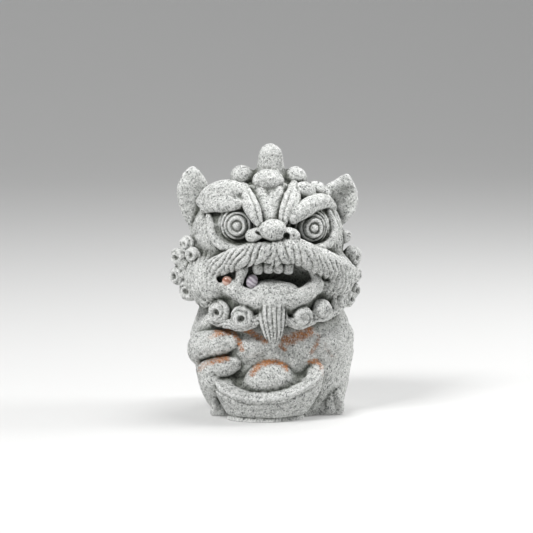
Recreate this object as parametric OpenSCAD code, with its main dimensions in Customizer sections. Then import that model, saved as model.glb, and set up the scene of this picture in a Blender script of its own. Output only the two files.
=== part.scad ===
// Guardian lion statuette: a squat lion with a wide head, holding a boat-shaped ingot.
// Origin: the ground, under the middle of the body. The lion faces -Y and its own left is +X.
// The statuette is one stone. Each sculpted element is a piece of its own here, and every
// piece is cut by the pieces before it in NODES, so that they all meet face to face.

/* [Body] */
// Full width of the body at its widest
body_w = 43; // [35:0.5:52]
// Depth of the body, chest to back
body_d = 35; // [29:0.5:42]
// Height at which the body is widest
body_z = 15.5; // [13:0.5:18.5]
// Height of the shoulders, where the head takes over
shoulder_z = 26; // [22:0.5:31]
// How far the body stands to the lion's left of the head
body_shift = 1.1; // [0:0.1:2]
// Reach of the tail behind the back
tail_reach = 3.2; // [2:0.1:5]

/* [Head] */
// Width of the skull without its curls
head_w = 40; // [33:0.5:48]
// Depth of the skull
head_d = 34; // [28:0.5:41]
// Height of the skull
head_h = 34; // [28:0.5:41]
// Height of the middle of the skull above the shoulders
neck_rise = 19; // [17:0.5:21]
// Offset of the face's middle line to the lion's right
face_shift = 0.8; // [0:0.1:1.5]

/* [Horn, crest and ears] */
// Radius of the horn's round tip
horn_r = 3.4; // [2.8:0.1:4.1]
// Height of the horn above the top of the skull
horn_rise = 8; // [6:0.5:10]
// Radius of the two crest lobes
lobe_r = 3; // [2.4:0.1:3.6]
// Length of an ear
ear_l = 14; // [11.5:0.5:17]
// Half width of an ear
ear_half_w = 4.2; // [3.4:0.1:5.1]

/* [Eyes and brows] */
// Distance between the pupils
eye_gap = 20; // [16.5:0.5:24]
// Height of the eyes above the skull's middle
eye_rise = 4.7; // [3.5:0.1:6]
// Radius of an eyeball
eye_r = 4; // [3.3:0.1:4.8]
// Width of the ringed lid around an eyeball
lid_w = 1.5; // [1.1:0.1:2]

/* [Nose and moustache] */
// Radius of the nose ball
nose_r = 3.1; // [2.5:0.1:3.8]
// Height of the nose above the skull's middle
nose_rise = 4; // [3:0.1:5]
// Radius of the moustache roll beside the nose
moustache_r = 2.9; // [2.4:0.1:3.5]

/* [Mouth] */
// Width of the jaw
jaw_w = 39; // [32:0.5:47]
// Depth of the jaw
jaw_d = 38; // [31:0.5:46]
// Width of the open mouth
mouth_w = 20; // [16.5:0.5:24]
// Height of the open mouth
mouth_h = 7; // [5.5:0.1:8.5]
// Depth of the open mouth
mouth_d = 8; // [6.5:0.1:9.6]
// Depth of the mouth's middle below the skull's middle
mouth_drop = 8.6; // [8:0.1:9.5]
// Radius of the lower lip
lip_r = 1.4; // [1.1:0.1:1.8]
// Radius of the small brown pebble
brown_pebble_r = 1.3; // [1:0.1:1.6]
// Half height of the oval grey pebble
grey_pebble_r = 1.8; // [1.4:0.1:2.2]

/* [Ingot] */
// Length of the ingot between its tips
ingot_l = 28; // [23:0.5:34]
// Width of the ingot's open top
ingot_w = 14; // [11.5:0.5:17]
// Lean of the ingot's open top towards the front
ingot_lean = 35; // [28:1:42]
// Roll of the ingot, its end on the lion's left being the higher
ingot_roll = 8; // [5:1:10]
// Half length of the dome in the ingot
dome_half_l = 6.4; // [5.3:0.1:7.7]

/* [Hidden] */
NODES = [
    "mouth_pebble_brown", "mouth_pebble_grey", "left_eye", "right_eye", "nose",
    "forehead_boss", "ingot_dome", "beard", "tongue", "upper_teeth",
    "left_mouth_post", "right_mouth_post", "horn", "left_ear", "right_ear",
    "left_nostril", "right_nostril", "left_eyelid", "right_eyelid",
    "left_inner_brow", "right_inner_brow", "left_outer_brow", "right_outer_brow",
    "forehead_plate", "left_crest_lobe", "right_crest_lobe", "lower_lip",
    "left_moustache", "right_moustache",
    "left_chin_curls", "right_chin_curls", "left_cheek_curls", "right_cheek_curls",
    "ingot_bowl", "ingot_foot", "left_front_paw", "right_front_paw",
    "left_foreleg", "right_foreleg", "left_hind_foot", "right_hind_foot",
    "left_haunch", "right_haunch", "chest_bib", "tail",
    "lower_jaw", "left_cheek", "right_cheek", "skull", "nape_mane", "body",
];

// The first pieces in NODES stand clear of each other and are left whole
whole_pieces = 8;
// Facets around large masses, medium masses and small balls
large = 24;
medium = 14;
small = 8;
// A block larger than the statuette, for flat cuts
block = 200;

stone = [0.76, 0.77, 0.74];
light_stone = [0.84, 0.85, 0.82];
brown_pebble = [0.66, 0.5, 0.45];
grey_pebble = [0.62, 0.58, 0.64];

left = 1;
right = -1;
face_x = -face_shift;
head_y = -1;
head_z = shoulder_z + neck_rise;
crown_z = head_z + head_h / 2;
eye_z = head_z + eye_rise;
nose_z = head_z + nose_rise;
mouth_z = head_z - mouth_drop;
mouth_roof = mouth_z + mouth_h / 2;
mouth_floor = mouth_z - mouth_h / 2;
chin_z = mouth_floor - 4.4;
curl_x = head_w / 2 + 3;
root_x = min(head_w, jaw_w) / 2 - 0.6;
chest_y = -body_d / 2;
ingot_x = -1.4;
ingot_y = chest_y + 1;
ingot_z = 11.4;
seat_x = ingot_x - 0.6;
seat_y = ingot_y + 2.5;

// Places on the head, as shares of its half width and half height
function across(share) = share * head_w / 2;
function up(share) = head_z + share * head_h / 2;

// A point that stands proud of the skull's front
function on_face(x, z, proud) =
    let (share = 1 - pow(2 * x / head_w, 2) - pow(2 * (z - head_z) / head_h, 2))
    [x, head_y - head_d / 2 * sqrt(max(0.05, share)) - proud, z];

// A point that stands proud of the jaw's front
function on_jaw(x, z, proud) =
    [x, head_y - jaw_d / 2 * sqrt(max(0.05, 1 - pow(2 * x / jaw_w, 2))) - proud, z];

// A rounded mass with its own half sizes and tilt
module mass(at, half, tilt = [0, 0, 0], facets = medium)
    hull() translate(at) rotate(tilt) scale(half) sphere(1, $fn = facets);

module ball(at, r, facets = small) mass(at, [r, r, r], facets = facets);

// A straight limb between two round ends
module limb(from, from_r, to, to_r, facets = small)
    hull() {
        translate(from) sphere(from_r, $fn = facets);
        translate(to) sphere(to_r, $fn = facets);
    }

// A roll through a list of points, each with its radius as the fourth number
module roll(points, facets = small)
    for (k = [1 : len(points) - 1])
        limb([for (i = [0 : 2]) points[k - 1][i]], points[k - 1][3],
             [for (i = [0 : 2]) points[k][i]], points[k][3], facets);

// Everything above or below a height
module above(z) translate([-block / 2, -block / 2, z]) cube(block);
module below(z) translate([-block / 2, -block / 2, z - block]) cube(block);

// ---- Mouth ----

module mouth_hollow()
    mass([face_x + 0.4, on_jaw(0, 0, 0)[1] + mouth_d / 2 - 1.6, mouth_z],
         [mouth_w / 2, mouth_d / 2 + 1.6, mouth_h / 2]);

module mouth_pebble_brown() color(brown_pebble)
    ball(on_jaw(-mouth_w / 2 - 2.2, mouth_z - 0.3, 0.5), brown_pebble_r, medium);

module mouth_pebble_grey() color(grey_pebble)
    mass(on_jaw(face_x - 5.2, mouth_z - 0.4, -1.6),
         [grey_pebble_r * 0.85, grey_pebble_r * 0.7, grey_pebble_r], [0, 12, 0]);

module tongue() color(stone)
    mass(on_jaw(face_x - 0.4, mouth_floor + 1, -4), [5, 4.2, 1.6], [8, 0, 0]);

module upper_teeth() color(stone)
    for (k = [-1.5 : 1 : 1.5])
        ball(on_jaw(face_x + 2.7 * k, mouth_roof - 0.4, -1.6), 1.55);

module mouth_post(x, height)
    limb(on_jaw(x, mouth_z - height / 2, -0.6), 1.2, on_jaw(x, mouth_z + height / 2, -0.6), 1.1);

module left_mouth_post() color(stone) mouth_post(mouth_w / 2 + 0.6, 3);
module right_mouth_post() color(stone) mouth_post(-mouth_w / 2 + 0.4, 4.4);

// The lip curves up towards the corners of the mouth
module lower_lip() color(light_stone)
    roll([for (t = [-1 : 0.25 : 1])
        concat(on_jaw(face_x + 0.4 + mouth_w / 2 * t, mouth_floor - 0.9 + 2.4 * t * t, 0.2), lip_r)]);

// ---- Nose and moustache ----

module nose() color(light_stone)
    ball(on_face(face_x, nose_z, 1.8), nose_r, medium);

module nostril(side) color(stone)
    difference() {
        mass(on_face(face_x + side * (nose_r + 1.5), nose_z - 1, 1.6), [2.5, 2.3, 1.9]);
        mass(on_face(face_x + side * (nose_r + 1.8), nose_z - 0.9, 3.6), [1.2, 2, 0.95], facets = small);
    }

module left_nostril() nostril(left);
module right_nostril() nostril(right);

// The moustache arches over the mouth and droops to the curls at the cheek: how far each of its
// points is below the skull's middle. Each half ends near the face's middle line; the right one
// goes past it, and the left one cuts it there
module moustache(side, drops, swell, past = 0) color(light_stone)
    intersection() {
        roll([
            concat(on_face(face_x, head_z - 1.3, 1.7), moustache_r),
            concat(on_face(across(side * 0.21), head_z - drops[0], 1.7), moustache_r),
            concat(on_face(across(side * 0.44), head_z - drops[1], 2), moustache_r + swell),
            concat(on_face(across(side * 0.67), head_z - drops[2], 2.4), moustache_r + swell),
            [side * (curl_x - 4.6), -9.2, head_z - drops[3], moustache_r + swell / 2 - 0.4],
            [side * (curl_x - 0.6), -4, head_z - drops[4], moustache_r - 1.2],
        ]);
        translate([face_x + past + (side - 1) * block / 2, -block / 2, 0]) cube(block);
    }

module left_moustache() moustache(left, [1.5, 3.1, 5.5, 8.3, 10.2], 0.5);
module right_moustache() moustache(right, [1.7, 2.8, 4.9, 7, 8.6], 0.1, past = 0.7);

// ---- Eyes and brows ----

module eye(side) color(light_stone)
    ball(on_face(side * eye_gap / 2, eye_z, -1), eye_r, 18);

module left_eye() eye(left);
module right_eye() eye(right);

module eyelid(side) color(stone)
    mass(on_face(side * eye_gap / 2, eye_z, -0.9),
         [eye_r + lid_w, 2.8, eye_r + 0.7 * lid_w], [8, 0, side * 22]);

module left_eyelid() eyelid(left);
module right_eyelid() eyelid(right);

module left_inner_brow() color(stone)
    limb(on_face(0.26 * eye_gap, up(0.78), 0.4), 2.1, on_face(0.14 * eye_gap, up(0.39), 0.9), 1.1);

module right_inner_brow() color(stone)
    limb(on_face(-0.295 * eye_gap, up(0.74), 0.4), 2.1, on_face(-0.21 * eye_gap, up(0.365), 0.9), 1.1);

module left_outer_brow() color(light_stone)
    roll([
        concat(on_face(across(0.33), up(0.46), 0.6), 1.9),
        concat(on_face(across(0.44), up(0.65), 0.2), 2.8),
        concat(on_face(across(0.62), up(0.7), -0.4), 3.2),
    ]);

module right_outer_brow() color(light_stone)
    roll([
        concat(on_face(across(-0.42), up(0.55), 0.3), 2),
        concat(on_face(across(-0.6), up(0.68), 0.2), 3.4),
        concat(on_face(across(-0.73), up(0.66), -0.2), 3.3),
    ]);

// A plate that narrows from the boss down to the nose
module forehead_plate() color(stone)
    hull() {
        translate(on_face(face_x - 2.4, up(0.74), -1)) sphere(1.6, $fn = small);
        translate(on_face(face_x + 2.4, up(0.74), -1)) sphere(1.6, $fn = small);
        translate(on_face(face_x, up(0.4), -0.6)) sphere(1.4, $fn = small);
    }

module forehead_boss() color(light_stone)
    mass(on_face(face_x, up(0.9), 0.6), [4.3, 3, 2.7], [-30, 0, 0]);

// ---- Horn, crest and ears ----

module horn() color(light_stone)
    limb([0.4, head_y - 4, crown_z + horn_rise - horn_r], horn_r,
         [0.4, head_y - 3, crown_z - 1], horn_r + 0.9, 18);

module crest_lobe(side, rise) color(light_stone)
    limb([across(side * 0.355), head_y - 4, crown_z + rise], lobe_r,
         [across(side * 0.32), head_y + 6, crown_z + rise - 3.4], lobe_r, 12);

module left_crest_lobe() crest_lobe(left, -1);
module right_crest_lobe() crest_lobe(right, -0.5);

// An upright leaf: a root, a broad middle and a tip, with a hollow in its front
module ear(root, middle, tip, half, tilt, hollow) color(light_stone)
    difference() {
        hull() {
            translate(root) sphere(2.7, $fn = small);
            translate(middle) rotate(tilt) scale(half) sphere(1, $fn = medium);
            translate(tip) sphere(0.7, $fn = small);
        }
        mass(hollow, [half[0] * 0.5, 1.6, half[2] * 0.75], tilt);
    }

module left_ear()
    let (x = across(0.86), z = up(0.27))
    ear([x, 0.6, z], [x + 2.6, 1.8, z + 0.36 * ear_l], [x + 4.3, 2.4, z + 0.8 * ear_l],
        [ear_half_w, 2.2, 0.37 * ear_l], [0, 8, -25], [x + 4.2, -0.6, z + 0.35 * ear_l]);

module right_ear()
    let (x = across(-0.87), z = up(0.235))
    ear([x, 0.6, z], [x - 2, 1.8, z + 0.45 * ear_l], [x - 2, 2.4, z + 0.95 * ear_l],
        [ear_half_w, 2.2, 0.43 * ear_l], [0, -6, 20], [x - 0.8, -0.9, z + 0.47 * ear_l]);

// ---- Curls, beard and mane ----

module beard() color(light_stone)
    hull() {
        mass(on_jaw(face_x, chin_z + 0.6, -0.4), [3.2, 2, 2.6]);
        translate(on_jaw(face_x + 0.1, chin_z - 8.4, -1.8)) sphere(1, $fn = small);
    }

module left_chin_curls() color(light_stone) {
    ball(on_jaw(6.9, chin_z - 0.8, -2.8), 2.8, medium);
    ball(on_jaw(12.6, chin_z, -1.6), 2.8, medium);
    ball(on_jaw(17.2, chin_z + 0.8, -1), 2.5, medium);
}

module right_chin_curls() color(light_stone) {
    ball(on_jaw(-8.4, chin_z - 0.9, -1.8), 3, medium);
    ball(on_jaw(-14.2, chin_z - 0.5, -1.2), 2.8, medium);
}

// A cheek curl has its root in the side of the head
module cheek_curl(x, y, z, r)
    limb([x, y, z], r, [sign(x) * root_x, y + 0.6, z], 0.85 * r);

module left_cheek_curls() color(light_stone) {
    cheek_curl(curl_x - 2.6, -4.2, head_z + 0.8, 1.7);
    cheek_curl(curl_x - 1, -3, head_z - 4.8, 2.7);
    cheek_curl(curl_x + 0.7, -0.5, head_z - 10.2, 2.4);
    cheek_curl(curl_x + 0.1, -2, head_z - 13.7, 2.3);
    cheek_curl(curl_x - 1.8, -4.5, head_z - 15.8, 2.2);
}

module right_cheek_curls() color(light_stone) {
    cheek_curl(-curl_x + 1.3, -4, head_z - 0.6, 2.2);
    cheek_curl(-curl_x - 0.7, -1.8, head_z - 4.6, 2.4);
    cheek_curl(-curl_x + 2, -8, head_z - 2.9, 2.3);
    cheek_curl(-curl_x - 0.8, -0.4, head_z - 9.3, 2.6);
    cheek_curl(-curl_x + 1.7, -6, head_z - 12.5, 2.9);
    cheek_curl(-curl_x + 5.4, -11.2, head_z - 13.8, 1.8);
}

// Rows of round curls over the back of the head
module nape_mane() color(light_stone) {
    mass([0, head_y + 6, head_z - 5], [head_w / 2, 0.4 * head_d, 14.5], facets = large);
    for (row = [0 : 2], step = [-3 : 3])
        let (angle = (step + 0.5 * (row % 2)) * 25, rim = 1.4 * abs(row - 1))
            ball([(curl_x - 2.6 - rim) * sin(angle), head_y + (head_d / 2 + 1.4 - rim) * cos(angle),
                  head_z - 13.6 + row * 6.8], 3.7);
}

// ---- Head masses ----

module skull() color(stone)
    intersection() {
        mass([0, head_y, head_z], [head_w / 2, head_d / 2, head_h / 2], facets = large);
        above(mouth_roof - 0.6);
    }

// A cheek closes the side of the mouth, under the moustache
module cheek(side) color(stone)
    difference() {
        mass([side * (jaw_w / 2 - 5.4), -7, mouth_z - 0.6], [8, 9, 7.4]);
        mouth_hollow();
        above(mouth_roof - 0.6);
    }

module left_cheek() cheek(left);
module right_cheek() cheek(right);

module lower_jaw() color(light_stone)
    difference() {
        hull() {
            mass([0, head_y, mouth_z - 1], [jaw_w / 2, jaw_d / 2, 6.4], facets = large);
            mass([0, head_y + 0.6, chin_z + 1.6], [jaw_w / 2 - 2, jaw_d / 2 - 1.6, 5], facets = large);
        }
        mouth_hollow();
        above(mouth_roof - 0.6);
    }

// ---- Body ----

module body() color(stone)
    hull() {
        mass([body_shift + 1, 0.6, 8.5], [0.39 * body_w, 0.44 * body_d, 9], facets = large);
        mass([body_shift, 0, body_z], [body_w / 2, body_d / 2, 10], facets = large);
        mass([body_shift, 0.6, shoulder_z - 1], [0.44 * body_w, 0.43 * body_d, 6], facets = large);
    }

module haunch(x, z) color(stone)
    mass([body_shift + x, 1, z], [6.4, 10.6, 8.8]);

module left_haunch() haunch(0.345 * body_w, 8.4);
module right_haunch() haunch(-0.315 * body_w, 9.4);

// Three round toes, side by side
module hind_foot(side, front, spread) color(light_stone)
    let (x = body_shift + side * 0.36 * body_w)
    for (k = [-1 : 1])
        limb([x + k * spread, front + 0.5 * abs(k), 1.9], 2,
             [x - side + k * spread, front + 3.4, 5.6], 2.1);

module left_hind_foot() hind_foot(left, -5.6, 2.4);
module right_hind_foot() hind_foot(right, -8.4, 2.2);

// Places on the body, as shares of its width
function along(share) = share * body_w;

module left_foreleg() color(stone)
    roll([
        [along(0.41), chest_y + 11.5, shoulder_z - 6.5, 4.6],
        [along(0.35), chest_y + 7.1, shoulder_z - 7.5, 3.7],
        [along(0.265), chest_y + 4.9, shoulder_z - 7, 2.9],
    ], 12);

module right_foreleg() color(stone)
    roll([
        [along(-0.22), chest_y + 4.5, shoulder_z - 5.4, 3.1],
        [along(-0.325), chest_y + 7.3, shoulder_z - 7, 4],
        [along(-0.363), chest_y + 9.9, shoulder_z - 9, 4.3],
    ], 12);

module left_front_paw() color(stone)
    limb([along(0.242), chest_y + 3.5, shoulder_z - 6.2], 2,
         [along(0.181), chest_y + 2.7, shoulder_z - 9.6], 1.9);

// The right paw reaches to the end of the ingot
module right_front_paw() color(stone)
    roll([
        [ingot_x - 0.27 * ingot_l, chest_y + 2.5, shoulder_z - 11, 2.4],
        [along(-0.316), chest_y + 3.9, shoulder_z - 12.4, 2.9],
        [along(-0.365), chest_y + 5.5, shoulder_z - 15, 3],
    ], 12);

// A bib with a scalloped lower edge
module chest_bib() color(light_stone)
    let (x = body_shift - 1) {
        mass([x, chest_y + 5.7, shoulder_z - 5], [along(0.242), 4.6, 4.4], facets = 18);
        for (k = [-2 : 2])
            ball([x + along(0.084) * k, chest_y + 3.5 + 0.35 * k * k, shoulder_z - 8 + 0.3 * k * k], 2.1);
    }

// A flame of three tufts that lies up the back
module tail() color(light_stone)
    for (k = [-1 : 1])
        roll([
            [body_shift, body_d / 2 - 2, 6, 3.4],
            [body_shift + 2.6 * k, body_d / 2 + tail_reach - 3, 12, 3],
            [body_shift + 4.6 * k, body_d / 2 + tail_reach - 4.4, 18.5 + 2.5 * (1 - abs(k)), 1.4],
        ]);

// ---- Ingot ----

module in_ingot() translate([ingot_x, ingot_y, ingot_z])
    rotate([ingot_lean, 0, 0]) rotate([0, -ingot_roll, 0]) children();

module ingot_dome() color(light_stone)
    hull() in_ingot() translate([0, 0, 0.4])
        scale([dome_half_l, 0.34 * ingot_w, 4]) sphere(1, $fn = medium);

// A boat: an oval open top with raised tips, narrowing to its foot
module ingot_bowl() color(stone)
    difference() {
        hull() {
            in_ingot() translate([0, 0, -0.4]) scale([ingot_l / 2 - 1.4, ingot_w / 2, 1])
                cylinder(0.4, 1, 1, $fn = large);
            in_ingot() for (side = [left, right])
                translate([side * (ingot_l / 2 - 1), 0, 1.2]) sphere(1, $fn = small);
            translate([seat_x, seat_y, 1.6]) scale([0.34 * ingot_l, 0.39 * ingot_w, 1])
                cylinder(1, 1, 1, $fn = large);
        }
        hull() in_ingot() translate([0, 0, 2.4])
            scale([ingot_l / 2 - 2, ingot_w / 2 - 1.3, 4.2]) sphere(1, $fn = large);
    }

module ingot_foot() color(light_stone)
    hull() translate([seat_x, seat_y, 0]) scale([0.36 * ingot_l, 0.43 * ingot_w, 1])
        cylinder(1.6, 1, 1, $fn = large);

// ---- Assembly ----

module form(name) {
    if (name == "mouth_pebble_brown") mouth_pebble_brown();
    if (name == "mouth_pebble_grey") mouth_pebble_grey();
    if (name == "left_eye") left_eye();
    if (name == "right_eye") right_eye();
    if (name == "nose") nose();
    if (name == "forehead_boss") forehead_boss();
    if (name == "ingot_dome") ingot_dome();
    if (name == "beard") beard();
    if (name == "tongue") tongue();
    if (name == "upper_teeth") upper_teeth();
    if (name == "left_mouth_post") left_mouth_post();
    if (name == "right_mouth_post") right_mouth_post();
    if (name == "horn") horn();
    if (name == "left_ear") left_ear();
    if (name == "right_ear") right_ear();
    if (name == "left_nostril") left_nostril();
    if (name == "right_nostril") right_nostril();
    if (name == "left_eyelid") left_eyelid();
    if (name == "right_eyelid") right_eyelid();
    if (name == "left_inner_brow") left_inner_brow();
    if (name == "right_inner_brow") right_inner_brow();
    if (name == "left_outer_brow") left_outer_brow();
    if (name == "right_outer_brow") right_outer_brow();
    if (name == "forehead_plate") forehead_plate();
    if (name == "left_crest_lobe") left_crest_lobe();
    if (name == "right_crest_lobe") right_crest_lobe();
    if (name == "lower_lip") lower_lip();
    if (name == "left_moustache") left_moustache();
    if (name == "right_moustache") right_moustache();
    if (name == "left_chin_curls") left_chin_curls();
    if (name == "right_chin_curls") right_chin_curls();
    if (name == "left_cheek_curls") left_cheek_curls();
    if (name == "right_cheek_curls") right_cheek_curls();
    if (name == "ingot_bowl") ingot_bowl();
    if (name == "ingot_foot") ingot_foot();
    if (name == "left_front_paw") left_front_paw();
    if (name == "right_front_paw") right_front_paw();
    if (name == "left_foreleg") left_foreleg();
    if (name == "right_foreleg") right_foreleg();
    if (name == "left_hind_foot") left_hind_foot();
    if (name == "right_hind_foot") right_hind_foot();
    if (name == "left_haunch") left_haunch();
    if (name == "right_haunch") right_haunch();
    if (name == "chest_bib") chest_bib();
    if (name == "tail") tail();
    if (name == "lower_jaw") lower_jaw();
    if (name == "left_cheek") left_cheek();
    if (name == "right_cheek") right_cheek();
    if (name == "skull") skull();
    if (name == "nape_mane") nape_mane();
    if (name == "body") body();
}

// A piece as it stands in the statuette: above the ground, less the pieces before it
module fitted(name) {
    rank = search([name], NODES)[0];
    difference() {
        form(name);
        below(0);
        if (rank >= whole_pieces)
            for (k = [0 : rank - 1]) form(NODES[k]);
    }
}

fitted("mouth_pebble_brown");  // mouth_pebble_brown
fitted("mouth_pebble_grey");  // mouth_pebble_grey
fitted("left_eye");  // left_eye
fitted("right_eye");  // right_eye
fitted("nose");  // nose
fitted("forehead_boss");  // forehead_boss
fitted("ingot_dome");  // ingot_dome
fitted("beard");  // beard
fitted("tongue");  // tongue
fitted("upper_teeth");  // upper_teeth
fitted("left_mouth_post");  // left_mouth_post
fitted("right_mouth_post");  // right_mouth_post
fitted("horn");  // horn
fitted("left_ear");  // left_ear
fitted("right_ear");  // right_ear
fitted("left_nostril");  // left_nostril
fitted("right_nostril");  // right_nostril
fitted("left_eyelid");  // left_eyelid
fitted("right_eyelid");  // right_eyelid
fitted("left_inner_brow");  // left_inner_brow
fitted("right_inner_brow");  // right_inner_brow
fitted("left_outer_brow");  // left_outer_brow
fitted("right_outer_brow");  // right_outer_brow
fitted("forehead_plate");  // forehead_plate
fitted("left_crest_lobe");  // left_crest_lobe
fitted("right_crest_lobe");  // right_crest_lobe
fitted("lower_lip");  // lower_lip
fitted("left_moustache");  // left_moustache
fitted("right_moustache");  // right_moustache
fitted("left_chin_curls");  // left_chin_curls
fitted("right_chin_curls");  // right_chin_curls
fitted("left_cheek_curls");  // left_cheek_curls
fitted("right_cheek_curls");  // right_cheek_curls
fitted("ingot_bowl");  // ingot_bowl
fitted("ingot_foot");  // ingot_foot
fitted("left_front_paw");  // left_front_paw
fitted("right_front_paw");  // right_front_paw
fitted("left_foreleg");  // left_foreleg
fitted("right_foreleg");  // right_foreleg
fitted("left_hind_foot");  // left_hind_foot
fitted("right_hind_foot");  // right_hind_foot
fitted("left_haunch");  // left_haunch
fitted("right_haunch");  // right_haunch
fitted("chest_bib");  // chest_bib
fitted("tail");  // tail
fitted("lower_jaw");  // lower_jaw
fitted("left_cheek");  // left_cheek
fitted("right_cheek");  // right_cheek
fitted("skull");  // skull
fitted("nape_mane");  // nape_mane
fitted("body");  // body
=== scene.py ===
"""The guardian lion statuette: stone sculpted as one distance field around the CAD pieces.

Every piece is a shape function placed from its CAD node's box. The shapes are blended into one
stone, and each piece's mesh is cut back out of it, so neighbours meet without a gap. Millimetres
while sculpting, metres in the meshes. The lion faces -Y and its own left is +X.
"""

import math

import bpy
import numpy as np
import openvdb
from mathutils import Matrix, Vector


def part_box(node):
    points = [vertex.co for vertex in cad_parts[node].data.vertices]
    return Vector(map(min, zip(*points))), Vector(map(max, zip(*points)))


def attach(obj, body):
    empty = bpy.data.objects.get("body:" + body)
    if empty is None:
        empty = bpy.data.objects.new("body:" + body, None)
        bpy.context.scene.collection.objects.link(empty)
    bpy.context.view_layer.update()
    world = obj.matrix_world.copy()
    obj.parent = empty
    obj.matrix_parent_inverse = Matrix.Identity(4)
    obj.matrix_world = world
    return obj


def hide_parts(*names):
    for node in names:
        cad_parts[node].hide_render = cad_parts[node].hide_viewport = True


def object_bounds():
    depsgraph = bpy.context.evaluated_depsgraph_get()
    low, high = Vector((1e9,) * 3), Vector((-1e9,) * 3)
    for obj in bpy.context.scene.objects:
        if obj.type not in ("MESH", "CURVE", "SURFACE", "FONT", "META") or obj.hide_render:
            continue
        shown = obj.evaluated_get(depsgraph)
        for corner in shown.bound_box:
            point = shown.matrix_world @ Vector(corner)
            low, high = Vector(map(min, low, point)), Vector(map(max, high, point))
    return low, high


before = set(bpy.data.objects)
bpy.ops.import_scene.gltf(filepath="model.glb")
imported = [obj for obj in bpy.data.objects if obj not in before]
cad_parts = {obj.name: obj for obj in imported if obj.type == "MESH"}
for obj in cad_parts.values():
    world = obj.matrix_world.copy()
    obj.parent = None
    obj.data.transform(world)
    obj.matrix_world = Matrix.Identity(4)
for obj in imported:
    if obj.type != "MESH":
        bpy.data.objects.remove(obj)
cad_lo, cad_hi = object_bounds()

scene = bpy.context.scene
MM = 0.001
STEP = 0.22  # grid spacing, mm
ROOM = 4.0  # mm of empty grid around the statuette
OVERLAP = 0.3  # mm by which a piece runs on under its neighbours
SINK = 0.22  # mm by which it dips there
FAR = 9.0  # mm, the distance that stands for none
CRUMB = 10.65  # mm2, about the surface of a loose bit that is dropped

# ---- Grid ----

origin = np.array(cad_lo) * 1000 - ROOM
count = np.ceil((np.array(cad_hi) * 1000 + ROOM - origin) / STEP).astype(int) + 1
axes = [origin[i] + STEP * np.arange(count[i], dtype=np.float32) for i in range(3)]
stone = np.full(count, FAR, np.float32)
nearest = np.full(count, FAR, np.float32)
second = np.full(count, FAR, np.float32)
owner = np.full(count, -1, np.int16)


def box(node):
    lo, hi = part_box(node)
    return np.array(lo) * 1000, np.array(hi) * 1000


def spot(node, u=0.5, v=0.5, w=0.5):
    """A point in a node's box, by shares of its three sides."""
    lo, hi = box(node)
    return lo + (hi - lo) * np.array([u, v, w])


def moved(at, offsets):
    """Points, and any further values, given as offsets from a place."""
    return [list(at + np.array(o[:3])) + list(o[3:]) for o in offsets]


def beside(node, *offsets):
    """Points given as offsets from the middle of a node's box."""
    return moved(spot(node), offsets)


def window(lo, hi):
    """The part of the grid between two corners: its slices and its three coordinate arrays."""
    a = np.clip(np.floor((lo - origin) / STEP).astype(int), 0, count - 2)
    b = np.clip(np.ceil((hi - origin) / STEP).astype(int) + 1, a + 2, count)
    cut = tuple(slice(i, j) for i, j in zip(a, b))
    return cut, np.meshgrid(*(axes[i][cut[i]] for i in range(3)), indexing="ij", sparse=True)


# ---- Shapes ----


def smooth_min(a, b, k):
    h = np.maximum(k - np.abs(a - b), 0) / k
    return np.minimum(a, b) - h * h * k * 0.25


def smooth_max(a, b, k):
    return -smooth_min(-a, -b, k)


def ramp(x, a, b):
    t = np.clip((x - a) / (b - a), 0, 1)
    return t * t * (3 - 2 * t)


def turn(tilt):
    """The matrix of a turn about X, then Y, then Z, in degrees."""
    a, b, c = (math.radians(t) for t in tilt)
    rx = np.array([[1, 0, 0], [0, math.cos(a), -math.sin(a)], [0, math.sin(a), math.cos(a)]])
    ry = np.array([[math.cos(b), 0, math.sin(b)], [0, 1, 0], [-math.sin(b), 0, math.cos(b)]])
    rz = np.array([[math.cos(c), -math.sin(c), 0], [math.sin(c), math.cos(c), 0], [0, 0, 1]])
    return rz @ ry @ rx


def local(x, y, z, at, m):
    """Coordinates in a turned frame at a point; the columns of m are its axes."""
    dx, dy, dz = x - at[0], y - at[1], z - at[2]
    return [m[0, i] * dx + m[1, i] * dy + m[2, i] * dz for i in range(3)]


def egg(at, half, tilt=(0, 0, 0)):
    m = turn(tilt)

    def f(x, y, z):
        a, b, c = local(x, y, z, at, m)
        k0 = np.sqrt((a / half[0]) ** 2 + (b / half[1]) ** 2 + (c / half[2]) ** 2)
        k1 = np.sqrt((a / half[0] ** 2) ** 2 + (b / half[1] ** 2) ** 2 + (c / half[2] ** 2) ** 2)
        return k0 * (k0 - 1) / np.maximum(k1, 1e-4)

    return f


def curve(points, parts=4):
    """A smooth curve through points of any number of values, as a finer list of points."""
    p = np.array([list(q) for q in points], float)
    if len(p) < 3:
        return p
    ends = np.vstack([2 * p[0] - p[1], p, 2 * p[-1] - p[-2]])
    out = []
    for i in range(len(p) - 1):
        a, b, c, d = ends[i : i + 4]
        for t in np.arange(parts) / parts:
            bend = (2 * a - 5 * b + 4 * c - d) * t * t + (3 * b - a - 3 * c + d) * t**3
            out.append(0.5 * (2 * b + (c - a) * t + bend))
    out.append(p[-1])
    return np.array(out)


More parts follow.
